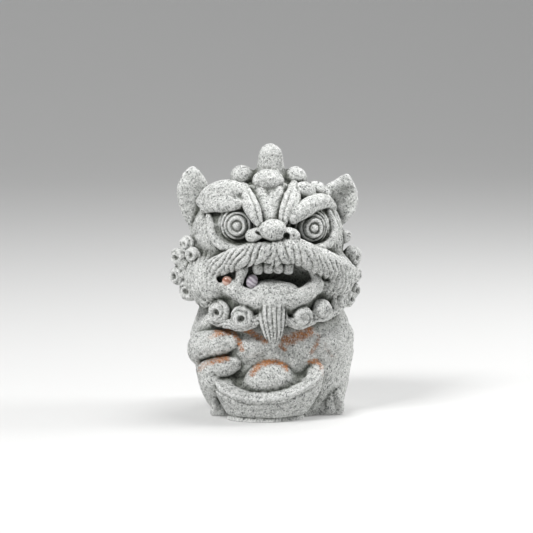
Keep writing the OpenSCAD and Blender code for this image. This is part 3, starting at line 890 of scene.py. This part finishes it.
def chest(x, y, z):
    """Two round pads side by side, and scallops along the top of them."""
    f = egg([BODY[0] - 1, chest_y + 7.0, 20.6], [10.4, 4.8, 5.0])(x, y, z)
    for dx, dz, r in ((-6.4, -1.6, 4.3), (3.4, -1.8, 4.5)):
        pad = egg([BODY[0] + dx, chest_y + 3.2, 20.2 + dz], [r, 3.4, 3.6])
        f = smooth_min(f, pad(x, y, z), 0.6)
    for k in (-2, -1, 0, 1, 2):
        ball = egg([BODY[0] - 1 + 3.9 * k, chest_y + 3.5 + 0.4 * k * k, 22.6], [2.3, 2.1, 1.4])
        f = smooth_min(f, ball(x, y, z), 0.4)
    return f


add("chest_bib", chest, 0.7)


def combed_arm(node, places, spacing, deep):
    """A limb with grooves along it."""
    line = curve(beside(node, *places))

    def f(x, y, z):
        d, u, _, oy, oz = follow(line, x, y, z)
        return d + deep * strand((oz + 0.25 * u) / spacing) * ramp(-oy, -0.5, 1.5)

    return f


arm = ((2.2, 2.4, 0.2, 4.5), (-0.2, -1.9, -0.6, 3.7), (-3.6, -4.1, -0.2, 2.8))
add("left_foreleg", roll_by("left_foreleg", *arm), 1.6)
paw = ((1.9, 0.9, 2.6, 1.5), (0.3, -0.2, 0.3, 1.5), (-1.6, -0.9, -2.2, 1.35))
add("left_front_paw", roll_by("left_front_paw", *paw), 0.35)
arm = ((2.6, -3.4, 2.0, 2.6), (-0.6, -1.9, 1.1, 3.6), (-4.2, 1.1, 0.0, 3.9), (-4.6, 2.6, -1.4, 3.8))
add("right_foreleg", combed_arm("right_foreleg", arm, 2.1, 0.3), 0.5)
forearm = ((2.6, -1.0, 1.7, 2.1), (-0.8, -0.1, 0.6, 3.0), (-3.9, 1.6, -0.4, 2.9))
fist = egg(beside("right_front_paw", (-3.2, -0.1, -3.0))[0], [3.1, 3.0, 2.7])
add("right_front_paw", union(combed_arm("right_front_paw", forearm, 1.9, 0.25), fist, k=0.4), 0.4)
add("left_hind_foot", foot("left_hind_foot", 1, 2.2, 3.4, 1.65), 0.3, 6.0)
add("right_hind_foot", foot("right_hind_foot", -1, 1.6, -1.4, 1.2), 0.3, 6.0)

# Tail: three tufts of flame up the back, with combed strands
tail_hi = box("tail")[1]


def tail(x, y, z):
    out = None
    for k in (-1, 0, 1):
        line = curve(
            [
                [BODY[0], tail_hi[1] - 5.2, 4.5, 2.6],
                [BODY[0] + 1.2 * k, tail_hi[1] - 3.8, 8.5, 3.1],
                [BODY[0] + 2.8 * k, tail_hi[1] - 3.4, 13.5, 2.7],
                [BODY[0] + (4.6 + 0.6 * abs(k)) * k, tail_hi[1] - 4.6, 18.6 + 2.4 * (1 - abs(k)), 1.2],
                [BODY[0] + 5.0 * k, tail_hi[1] - 5.6, 20.2 + 2.8 * (1 - abs(k)), 0.5],
            ]
        )
        d, u, ox, _, _ = follow(line, x, y, z)
        d = d - 0.4 + 0.75 * strand((ox + 0.12 * u * k) / 1.25 + 0.5) * ramp(u, 1.5, 4)
        out = d if out is None else smooth_min(out, d, 0.35)
    return out


add("tail", tail, 0.7)

# ---- Ingot ----

bowl_lo, bowl_hi = box("ingot_bowl")
LEAN, ROLL = 35, 8
bowl_at = (bowl_lo + bowl_hi) / 2
INGOT = np.array([bowl_at[0] + 0.2, bowl_at[1] - 1.2, bowl_hi[2] - 4.5])
INGOT_AXES = turn([LEAN, 0, 0]) @ turn([0, -ROLL, 0])
half_l = 14.0
half_w = 7.3
foot_lo, foot_hi = box("ingot_foot")
SEAT = (foot_lo + foot_hi) / 2
FOOT_TOP = 1.9


def rim_height(a):
    """How far the rim stands over the ingot's middle plane: the ends sweep up."""
    return 1.5 * np.clip(np.abs(a) / half_l, 0, 1.1) ** 3 - 0.1


def oval(a, b, la, lb):
    """A pointed oval: about the distance outside its edge."""
    rho = (np.abs(a / la) ** 1.75 + (b / lb) ** 2 + 1e-6) ** 0.53
    return (rho - 1) * np.sqrt(a * a + b * b + 1) / np.maximum(rho, 0.25)


def bowl(x, y, z):
    a, b, c = local(x, y, z, INGOT, INGOT_AXES)
    s = np.clip(-c / 10.5, 0, 1)
    hull = oval(a, b, half_l * (1 - 0.3 * s**1.5), half_w * (1 - 0.4 * s**2.0)) * 0.9
    # Towards the ground it settles on its foot
    px, py = x - SEAT[0] - 0.3, y - SEAT[1] + 0.3
    seat = oval(px, py, 9.6 + 0.5 * np.clip(z, 0, 9), 5.7 + 0.36 * np.clip(z, 0, 9))
    seat = smooth_max(seat, np.maximum(z - 7.6, 0.9 - z), 1.8)
    hull = smooth_min(smooth_max(hull, -z + 0.8, 0.5), seat, 2.2)
    hull = smooth_max(hull, c - rim_height(a), 0.5)
    inner = smooth_max(oval(a, b, half_l - 4.2, half_w - 2.1), -c - 0.7, 1.8)
    # Shallow lines under the rim
    for depth, deep in ((1.7, 0.3), (3.3, 0.14), (4.6, 0.12)):
        hull = hull + deep * np.exp(-(((c - rim_height(a) + depth + 0.25 * np.sin(a * 0.7)) / 0.35) ** 2))
    return smooth_max(hull, -inner, 0.6)


def dome(x, y, z):
    a, b, c = local(x, y, z, INGOT, INGOT_AXES)
    f = egg([0, 0, -0.6], [6.2, 4.7, 4.6])(a + 0.2, b - 0.2, c)
    base = egg([0, 0, -1.7], [11.4, 5.4, 1.7])(a, b, c)
    return smooth_min(f, base, 1.6)


def pedestal(x, y, z):
    t = np.clip(z / FOOT_TOP, 0, 1)
    f = oval(x - SEAT[0], y - SEAT[1], 10.1 - 0.7 * t, 6.1 - 0.6 * t)
    return smooth_max(f, z - FOOT_TOP, 0.5)


add("ingot_bowl", bowl, 0.5)
add("ingot_dome", dome, 0.35)
add("ingot_foot", pedestal, 0.3)

# ---- Wear ----

stone += 0.1 * noise(2.3, 11) + 0.09 * noise(1.0, 12) + 0.06 * noise(0.5, 13)
# The underside is cut flat, on the ground
stone = np.maximum(stone, -axes[2][None, None, :])


def blur(a, width):
    """Two passes of a moving mean along each axis, its width in mm."""
    r = max(1, int(round(width / STEP)))
    for axis in range(3):
        for _ in range(2):
            pad = [(0, 0)] * 3
            pad[axis] = (r + 1, r)
            s = np.cumsum(np.pad(a, pad, mode="edge"), axis=axis, dtype=np.float64)
            n = a.shape[axis]
            hi_part = np.take(s, np.arange(2 * r + 1, 2 * r + 1 + n), axis=axis)
            lo_part = np.take(s, np.arange(0, n), axis=axis)
            a = ((hi_part - lo_part) / (2 * r + 1)).astype(np.float32)
    return a


solid = np.clip(0.5 - stone / STEP, 0, 1).astype(np.float32)
# How creased and how hollow the stone is about each point. The colour takes grime and painted shade from
# these in creases, painted shade in hollows, and a painted highlight on convex edges.
crease_field = blur(solid, 0.5) - 0.5
hollow_field = blur(solid, 1.7) - 0.5
del solid


def sample(field, points):
    """Trilinear values of a grid at points in mm."""
    p = (points - origin) / STEP
    i = np.clip(np.floor(p).astype(int), 0, count - 2)
    t = p - i
    out = 0
    for corner in np.ndindex(2, 2, 2):
        w = np.where(corner, t, 1 - t)
        out = out + w[:, 0] * w[:, 1] * w[:, 2] * field[tuple((i + corner).T)]
    return out


# ---- Meshes ----


def islands(n, edges):
    """A label for each vertex, the same over each connected part."""
    label = np.arange(n)
    while True:
        a, b = label[edges[:, 0]], label[edges[:, 1]]
        if (a == b).all():
            return label
        low = np.minimum(a, b)
        np.minimum.at(label, a, low)
        np.minimum.at(label, b, low)
        while True:
            up = label[label]
            if (up == label).all():
                break
            label = up


def mesh_of(name, field, corner, step=STEP):
    """A closed mesh of a field's zero surface, without crumbs, on a grid with a given spacing."""
    grid = openvdb.FloatGrid(3.0)
    grid.copyFromArray(np.ascontiguousarray(np.clip(field, -3, 3)).astype(np.float32))
    points, quads = grid.convertToQuads(isovalue=0.0)
    points = points.astype(np.float64) * step + corner
    quads = quads.astype(np.int64)
    p = points[quads]
    volume = 0
    for i, j in ((1, 2), (2, 3)):
        volume += (np.cross(p[:, i] - p[:, 0], p[:, j] - p[:, 0]) * p[:, 0]).sum()
    if volume < 0:
        quads = quads[:, ::-1]
    edges = np.vstack([quads[:, [0, 1]], quads[:, [1, 2]], quads[:, [2, 3]], quads[:, [3, 0]]])
    label = islands(len(points), edges)
    size = np.bincount(label, minlength=len(points))
    keep = size[label] * step**2 > CRUMB
    number = np.cumsum(keep) - 1
    quads = number[quads[keep[quads[:, 0]]]]
    points = points[keep]
    mesh = bpy.data.meshes.new(name)
    mesh.vertices.add(len(points))
    mesh.vertices.foreach_set("co", (points * MM).astype(np.float32).ravel())
    mesh.loops.add(4 * len(quads))
    mesh.loops.foreach_set("vertex_index", quads.astype(np.int32).ravel())
    mesh.polygons.add(len(quads))
    mesh.polygons.foreach_set("loop_start", np.arange(0, 4 * len(quads), 4, dtype=np.int32))
    mesh.polygons.foreach_set("use_smooth", np.ones(len(quads), bool))
    mesh.update(calc_edges=True)
    return mesh, points


# Lines of rust by the node whose box they go by: their width, and points as offsets from its middle
RUST = {
    # Top edge of the right shoulder, and the crease down beside it
    "right_foreleg": [
        (0.8, [(-5.4, 0.7, 0.2), (-3.2, -1.3, 2.6), (-0.6, -3.3, 4.0), (1.8, -4.3, 4.4)]),
        (0.7, [(-1.4, -3.3, 4.4), (1.2, -4.3, 4.4)]),
        (0.7, [(2.8, -5.3, 4.2), (4.0, -5.8, 2.2), (4.8, -5.8, 0.2)]),
    ],
    # Top edge of the right forearm
    "right_front_paw": [(0.8, [(-6.2, 2.4, 0.2), (-4.0, 0.6, 1.8), (-1.2, -1.4, 3.0), (0.4, -1.8, 3.4)])],
    # Over the pads of the chest
    "chest_bib": [
        (0.8, [(-8.8, -3.7, 2.9), (-7, -4.2, 2.3), (-5.6, -4.6, 1.2), (-4.2, -4.8, 0.6), (-3.2, -5, -0.2)]),
        (1.4, [(2.0, -4.6, -0.1), (4.0, -4.2, 0.4), (6.2, -3.6, 1.0), (8.4, -2.6, 1.8)]),
        (0.6, [(0.8, -5.2, -1.5), (1.8, -5.2, -2.3)]),
    ],
    # The left hand, its outer edge, and the arm beyond it
    "left_front_paw": [
        (0.7, [(2.3, 1.0, 3.3), (1.7, 0.0, 1.1), (0.3, -0.6, -0.9)]),
        (1.0, [(3.8, 2.4, 1.0), (5.2, 3.4, -1.4), (6.4, 4.4, -2.8)]),
    ],
    # Ingot: over the dome, and at the raised end
    "ingot_dome": [
        (0.8, [(-4.6, -1.8, 0.8), (-2.8, -0.8, 2.6), (0.0, -0.4, 3.5), (2.6, -0.6, 3.1), (4.2, -1.4, 1.8)])
    ],
    "ingot_bowl": [(0.7, [(10.4, 0.4, 6.2), (12.4, -0.6, 6.3), (13.4, -1.4, 5.2), (13.2, -2.2, 3.4)])],
}


def rust_at(points):
    out = np.zeros(len(points))
    front = points[:, 1] < -5
    p = points[front]
    total = np.zeros(len(p))
    lines = [(node, *line) for node, group in RUST.items() for line in group]
    for node, width, offsets in lines:
        fine = curve(beside(node, *offsets), 3)
        best = np.full(len(p), 1e9)
        for a, b in zip(fine[:-1], fine[1:]):
            e = (b - a) * (1, 0.35, 1)
            q = (p - a) * (1, 0.35, 1)
            t = np.clip(q @ e / (e @ e), 0, 1)
            best = np.minimum(best, ((q - t[:, None] * e) ** 2).sum(1))
        total = np.maximum(total, np.exp(-best / width**2))
    out[front] = total
    return out


# ---- Materials ----


def nodes_of(material):
    material.use_nodes = True
    tree = material.node_tree
    return tree.nodes, tree.links, tree.nodes["Principled BSDF"]


def stone_material(name, base, dark, light):
    """Speckled cast stone: two sizes of grain, dark flakes, grime with painted shade in the creases,
    painted shade in the hollows, edges lightened by wear and by a painted highlight, and rust.
    """
    m = bpy.data.materials.new(name)
    n, link, shader = nodes_of(m)
    place = n.new("ShaderNodeTexCoord")
    scale = n.new("ShaderNodeMapping")
    scale.inputs["Scale"].default_value = (1000, 1000, 1000)
    link.new(place.outputs["Object"], scale.inputs["Vector"])
    mm = scale.outputs["Vector"]

    def node(kind, **inputs):
        made = n.new("ShaderNode" + kind)
        for key, value in inputs.items():
            made.inputs[key.replace("_", " ")].default_value = value
        return made

    def ramp_node(source, stops, interpolation="LINEAR"):
        made = n.new("ShaderNodeValToRGB")
        made.color_ramp.interpolation = interpolation
        while len(made.color_ramp.elements) < len(stops):
            made.color_ramp.elements.new(0.5)
        for element, (at, value) in zip(made.color_ramp.elements, stops):
            element.position = at
            element.color = (*value, 1) if isinstance(value, tuple) else (value, value, value, 1)
        link.new(source, made.inputs["Fac"])
        return made.outputs["Color"]

    def mix(kind, share, a, b):
        made = n.new("ShaderNodeMix")
        made.data_type = "RGBA"
        made.blend_type = kind
        for value, socket in ((share, made.inputs[0]), (a, made.inputs[6]), (b, made.inputs[7])):
            if isinstance(value, (int, float)):
                socket.default_value = value
            elif isinstance(value, tuple):
                socket.default_value = (*value, 1)
            else:
                link.new(value, socket)
        return made.outputs[2]

    def maths(kind, a, b=0.0, clamp=False):
        made = n.new("ShaderNodeMath")
        made.operation = kind
        made.use_clamp = clamp
        for value, socket in ((a, made.inputs[0]), (b, made.inputs[1])):
            if isinstance(value, (int, float)):
                socket.default_value = value
            else:
                link.new(value, socket)
        return made.outputs[0]

    def texture(kind, vector, **inputs):
        made = node(kind, **inputs)
        link.new(vector, made.inputs["Vector"])
        return made

    def channels(made):
        made_split = node("SeparateColor")
        link.new(made.outputs["Color"], made_split.inputs["Color"])
        return made_split.outputs

    def layer(name):
        made = node("Attribute")
        made.attribute_name = name
        return made.outputs["Fac"]

    grains = texture("TexVoronoi", mm, Scale=2.3)
    fine = texture("TexVoronoi", mm, Scale=4.2)
    cloud = texture("TexNoise", mm, Scale=0.16, Detail=5.0, Roughness=0.6)
    patch = texture("TexNoise", mm, Scale=0.7, Detail=4.0, Roughness=0.65)
    lean = n.new("ShaderNodeMapping")
    lean.inputs["Rotation"].default_value = (0.3, 0.5, 0.2)
    lean.inputs["Scale"].default_value = (1.0, 1.0, 0.42)
    link.new(mm, lean.inputs["Vector"])
    flakes = texture("TexVoronoi", lean.outputs["Vector"], Scale=2.0)

    split, split_fine, split_flakes = channels(grains), channels(fine), channels(flakes)

    white = (1.0, 1.0, 0.985)
    stops = [(0.0, (0.05, 0.055, 0.05)), (0.08, dark), (0.22, base), (0.5, light), (1.0, white)]
    tone = ramp_node(split[0], stops)
    stops = [(0.0, (0.04, 0.045, 0.04)), (0.14, dark), (0.3, base), (0.65, light), (1.0, white)]
    tone_fine = ramp_node(split_fine[1], stops)
    colour = mix("MIX", 0.5, tone, tone_fine)
    shade = ramp_node(cloud.outputs["Fac"], [(0.3, 0.82), (0.7, 1.0)])
    colour = mix("MULTIPLY", 0.8, colour, shade)
    shade = ramp_node(patch.outputs["Fac"], [(0.32, 0.8), (0.62, 1.0)])
    colour = mix("MULTIPLY", 0.7, colour, shade)
    fleck = ramp_node(split_flakes[0], [(0.0, 1.0), (0.075, 1.0), (0.085, 0.0), (1.0, 0.0)], "LINEAR")
    near_middle = ramp_node(flakes.outputs["Distance"], [(0.22, 1.0), (0.42, 0.0)])
    fleck = mix("MULTIPLY", 1.0, fleck, near_middle)
    colour = mix("MIX", fleck, colour, (0.1, 0.11, 0.11))

    crease, hollow, rust = layer("crease"), layer("hollow"), layer("rust")
    rough = maths("MULTIPLY", maths("SUBTRACT", patch.outputs["Fac"], 0.5), 0.1)
    # Grime and painted shade in the fine creases: the colour there is darkened towards olive grey.
    grime_and_shade = ramp_node(maths("ADD", crease, rough), [(0.02, 0.0), (0.11, 0.55), (0.22, 1.0)])
    grimed_and_shaded = mix("MULTIPLY", 1.0, colour, (0.2, 0.212, 0.185))
    colour = mix("MIX", mix("MULTIPLY", 1.0, grime_and_shade, (0.85, 0.85, 0.85)), colour, grimed_and_shaded)
    # Painted shade: the colour is darkened further in the broad hollows, where shade falls.
    deep = ramp_node(maths("ADD", hollow, rough), [(0.0, 0.0), (0.16, 1.0)])
    colour = mix("MIX", deep, colour, mix("MULTIPLY", 1.0, colour, (0.24, 0.252, 0.225)))
    # Edges lightened by wear, with a painted highlight: convex edges are mixed towards near white.
    worn_and_highlit = ramp_node(maths("MULTIPLY", crease, -1.0), [(0.05, 0.0), (0.2, 1.0)])
    colour = mix("MIX", mix("MULTIPLY", 1.0, worn_and_highlit, (0.45, 0.45, 0.45)), colour, (0.9, 0.905, 0.89))

    blotch = texture("TexNoise", mm, Scale=1.3, Detail=5.0, Roughness=0.75)
    patchy = maths("ADD", maths("MULTIPLY", blotch.outputs["Fac"], 3.2), -0.95)
    stain = maths("MULTIPLY", rust, patchy, clamp=True)
    grain_gate = ramp_node(split_fine[0], [(0.0, 0.25), (0.5, 1.0)])
    stain = mix("MULTIPLY", 1.0, ramp_node(stain, [(0.12, 0.0), (0.55, 1.0)]), grain_gate)
    rusty = ramp_node(patch.outputs["Fac"], [(0.35, (0.2, 0.07, 0.025)), (0.6, (0.5, 0.21, 0.075))])
    colour = mix("MIX", stain, colour, rusty)
    link.new(colour, shader.inputs["Base Color"])

    link.new(ramp_node(split[1], [(0.0, 0.62), (0.3, 0.8), (1.0, 0.95)]), shader.inputs["Roughness"])
    shader.inputs["Specular IOR Level"].default_value = 0.35
    rise = maths("MULTIPLY", patch.outputs["Fac"], 1.6)
    height = maths("ADD", maths("MULTIPLY", split_fine[2], 0.5), rise)
    pits = texture("TexNoise", mm, Scale=2.6, Detail=6.0, Roughness=0.75)
    height = maths("ADD", height, maths("MULTIPLY", pits.outputs["Fac"], 1.7))
    bump = node("Bump", Strength=0.8, Distance=0.00018)
    link.new(height, bump.inputs["Height"])
    link.new(bump.outputs["Normal"], shader.inputs["Normal"])
    return m


def pebble_material(name, low, high, stripe):
    """A polished pebble with wavy bands."""
    m = bpy.data.materials.new(name)
    n, link, shader = nodes_of(m)
    place = n.new("ShaderNodeTexCoord")
    scale = n.new("ShaderNodeMapping")
    scale.inputs["Scale"].default_value = (1000, 1000, 1000)
    scale.inputs["Rotation"].default_value = (0.4, 0.9, 0.3)
    link.new(place.outputs["Object"], scale.inputs["Vector"])
    wave = n.new("ShaderNodeTexWave")
    wave.inputs["Scale"].default_value = stripe
    wave.inputs["Distortion"].default_value = 9.0
    wave.inputs["Detail"].default_value = 3.0
    link.new(scale.outputs["Vector"], wave.inputs["Vector"])
    tint = n.new("ShaderNodeValToRGB")
    tint.color_ramp.elements[0].position = 0.25
    tint.color_ramp.elements[0].color = (*low, 1)
    tint.color_ramp.elements[1].position = 0.75
    tint.color_ramp.elements[1].color = (*high, 1)
    link.new(wave.outputs["Color"], tint.inputs["Fac"])
    link.new(tint.outputs["Color"], shader.inputs["Base Color"])
    shader.inputs["Roughness"].default_value = 0.22
    shader.inputs["Coat Weight"].default_value = 0.4
    bump = n.new("ShaderNodeBump")
    bump.inputs["Strength"].default_value = 0.15
    bump.inputs["Distance"].default_value = 0.00005
    link.new(wave.outputs["Fac"], bump.inputs["Height"])
    link.new(bump.outputs["Normal"], shader.inputs["Normal"])
    return m


granite = stone_material("granular_stone", (0.56, 0.575, 0.55), (0.2, 0.21, 0.2), (0.76, 0.77, 0.745))
brown = pebble_material("pebble_brown_banded", (0.36, 0.17, 0.12), (0.62, 0.42, 0.35), 0.22)
grey = pebble_material("pebble_lilac_striped", (0.3, 0.26, 0.31), (0.56, 0.52, 0.57), 0.3)


def show(node, mesh, material, slot):
    """Puts a piece in the scene in place of its CAD node."""
    piece = bpy.data.objects.new(f"{node}.stone" if slot == "stone" else f"{node}.pebble", mesh)
    scene.collection.objects.link(piece)
    mesh.materials.append(material)
    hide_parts(node)
    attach(piece, "root")


for number, (node, (cut, f)) in enumerate(fields.items()):
    others = np.where(owner[cut] == number, second[cut], nearest[cut])
    own = f - others
    part = stone[cut] + SINK * ramp(own, 0, OVERLAP)
    part = np.maximum(part, own - OVERLAP)
    part = np.pad(part, 1, constant_values=1.0)
    corner = origin + STEP * (np.array([c.start for c in cut]) - 1)
    mesh, points = mesh_of(node, part, corner)
    layers = {"crease": sample(crease_field, points), "hollow": sample(hollow_field, points)}
    layers["rust"] = rust_at(points)
    for name, values in layers.items():
        attribute = mesh.attributes.new(name, "FLOAT", "POINT")
        attribute.data.foreach_set("value", values.astype(np.float32))
    show(node, mesh, granite, "stone")

PEBBLE_STEP = 0.1
PEBBLES = (
    ("mouth_pebble_brown", brown, [1.3, 1.2, 1.3], [0, 20, 0]),
    ("mouth_pebble_grey", grey, [1.5, 1.25, 1.85], [0, 12, 0]),
)
for node, material, half, tilt in PEBBLES:
    lo, hi = box(node)
    low = lo - 1.0
    size = np.ceil((hi + 1.0 - low) / PEBBLE_STEP).astype(int)
    lines = [low[i] + PEBBLE_STEP * np.arange(size[i]) for i in range(3)]
    field = egg(spot(node), half, tilt)(*np.meshgrid(*lines, indexing="ij", sparse=True))
    mesh, points = mesh_of(node, field, low, PEBBLE_STEP)
    show(node, mesh, material, node.replace("mouth_", ""))


# ---- Floor, light and camera ----


def plain(name, colour, roughness):
    m = bpy.data.materials.new(name)
    shader = nodes_of(m)[2]
    shader.inputs["Base Color"].default_value = (*colour, 1)
    shader.inputs["Roughness"].default_value = roughness
    return m


# The floor runs back and curves up into a plain backdrop
floor_mesh = bpy.data.meshes.new("floor")
FLOOR_HALF, FLOOR_FRONT, SWEEP_AT, SWEEP, WALL_TOP = 3.0, -2.5, 0.7, 0.8, 3.0
profile = [(FLOOR_FRONT, 0.0), (SWEEP_AT, 0.0)]
for t in np.radians(range(6, 91, 6)):
    profile.append((SWEEP_AT + SWEEP * math.sin(t), SWEEP - SWEEP * math.cos(t)))
profile.append((SWEEP_AT + SWEEP, WALL_TOP))
corners = [(x, y, z) for y, z in profile for x in (-FLOOR_HALF, FLOOR_HALF)]
faces = [(2 * i, 2 * i + 1, 2 * i + 3, 2 * i + 2) for i in range(len(profile) - 1)]
floor_mesh.from_pydata(corners, [], faces)
floor_mesh.polygons.foreach_set("use_smooth", [True] * (len(profile) - 1))
floor = bpy.data.objects.new("floor", floor_mesh)
scene.collection.objects.link(floor)
pale = plain("pale_floor", (0.55, 0.55, 0.545), 0.6)
glow = pale.node_tree.nodes["Principled BSDF"].inputs
glow["Emission Color"].default_value = (0.85, 0.85, 0.84, 1)
glow["Emission Strength"].default_value = 0.2
floor_mesh.materials.append(pale)

world = bpy.data.worlds.new("soft_studio")
world.use_nodes = True
world.node_tree.nodes["Background"].inputs["Color"].default_value = (0.75, 0.77, 0.8, 1)
world.node_tree.nodes["Background"].inputs["Strength"].default_value = 0.17
scene.world = world

AIM_RAISED = 0.0026
AIM = Vector((0, 0, (cad_lo.z + cad_hi.z) / 2 + AIM_RAISED))


def lamp(name, place, size, power):
    data = bpy.data.lights.new(name, "AREA")
    data.size = size
    data.energy = power
    lit = bpy.data.objects.new(name, data)
    scene.collection.objects.link(lit)
    lit.location = Vector(place)
    lit.rotation_mode = "QUATERNION"
    lit.rotation_quaternion = (AIM - lit.location).to_track_quat("-Z", "Y")


lamp("key", (-0.30, -0.26, 0.46), 0.16, 3.1)
lamp("top", (0.10, 0.06, 0.55), 0.26, 1.8)
lamp("rim", (0.42, 0.02, 0.24), 0.16, 1.3)

CAMERA_DISTANCE = 0.65
turned, raised = math.radians(-7.5), math.radians(7)
level = math.cos(raised)
back = Vector((math.sin(turned) * level, -math.cos(turned) * level, math.sin(raised)))
camera_data = bpy.data.cameras.new("camera")
camera_data.sensor_width = 36
camera_data.lens = 168.6
camera_data.clip_start = 0.05
camera_data.clip_end = 10
camera = bpy.data.objects.new("camera", camera_data)
scene.collection.objects.link(camera)
camera.location = AIM + back * CAMERA_DISTANCE
camera.rotation_mode = "QUATERNION"
camera.rotation_quaternion = (-back).to_track_quat("-Z", "Y")
scene.camera = camera
scene.view_settings.view_transform = "Standard"
